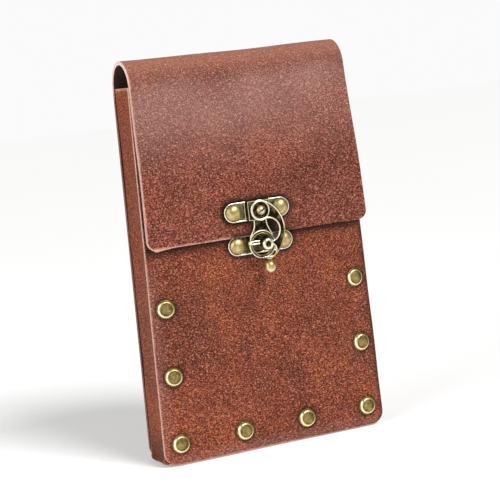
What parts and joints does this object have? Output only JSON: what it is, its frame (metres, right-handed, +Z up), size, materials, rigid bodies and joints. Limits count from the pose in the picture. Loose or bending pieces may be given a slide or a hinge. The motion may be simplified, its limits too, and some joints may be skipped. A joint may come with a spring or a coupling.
{
  "type": "belt pouch",
  "caption": "Flat leather belt pouch with a folded flap, riveted gusset, belt loops on the back and a brass clasp with a swinging lever.",
  "frame": {"origin": "middle of the belt passage behind the pouch, between the back and the belt loops", "axes": "+Z up as worn, +Y into the wearer, so the front with its clasp faces -Y, +X to the right seen from the front"},
  "size_m": [0.1346, 0.0499, 0.2216],
  "materials": {
    "body_leather": "grained, waxed, red brown",
    "gusset_leather": "smoother, orange brown",
    "rivet_brass": "antique, domed caps worn bright",
    "clasp_brass": "antique with dark patina, rims worn bright"
  },
  "bodies": {
    "pouch": {"front_panel": "body_leather", "back_flap": "body_leather", "gusset": "gusset_leather", "belt_loop_left": "gusset_leather", "belt_loop_right": "gusset_leather", "front_rivet_1": "rivet_brass", "front_rivet_2": "rivet_brass", "front_rivet_3": "rivet_brass", "front_rivet_4": "rivet_brass", "front_rivet_5": "rivet_brass", "front_rivet_6": "rivet_brass", "front_rivet_7": "rivet_brass", "front_rivet_8": "rivet_brass", "front_rivet_9": "rivet_brass", "front_rivet_10": "rivet_brass", "front_rivet_11": "rivet_brass", "front_rivet_12": "rivet_brass", "back_rivet_1": "rivet_brass", "back_rivet_2": "rivet_brass", "back_rivet_3": "rivet_brass", "back_rivet_4": "rivet_brass", "back_rivet_5": "rivet_brass", "back_rivet_6": "rivet_brass", "back_rivet_7": "rivet_brass", "back_rivet_8": "rivet_brass", "back_rivet_9": "rivet_brass", "back_rivet_10": "rivet_brass", "back_rivet_11": "rivet_brass", "back_rivet_12": "rivet_brass", "loop_rivet_1": "rivet_brass", "loop_rivet_2": "rivet_brass", "loop_rivet_3": "rivet_brass", "loop_rivet_4": "rivet_brass", "clasp_upper_plate": "clasp_brass", "clasp_pivot": "clasp_brass", "clasp_lower_plate": "clasp_brass", "clasp_boss_upper_left": "clasp_brass", "clasp_boss_upper_right": "clasp_brass", "clasp_boss_lower_left": "clasp_brass", "clasp_boss_lower_right": "clasp_brass"},
    "lever": {"clasp_lever": "clasp_brass"}
  },
  "joints": [
    {"name": "lever_swing", "type": "hinge", "parent": "pouch", "child": "lever", "pos_m": [-0.0005, -0.0419, -0.0307], "axis": [0, -1, 0], "range_deg": [0, 110]}
  ]
}
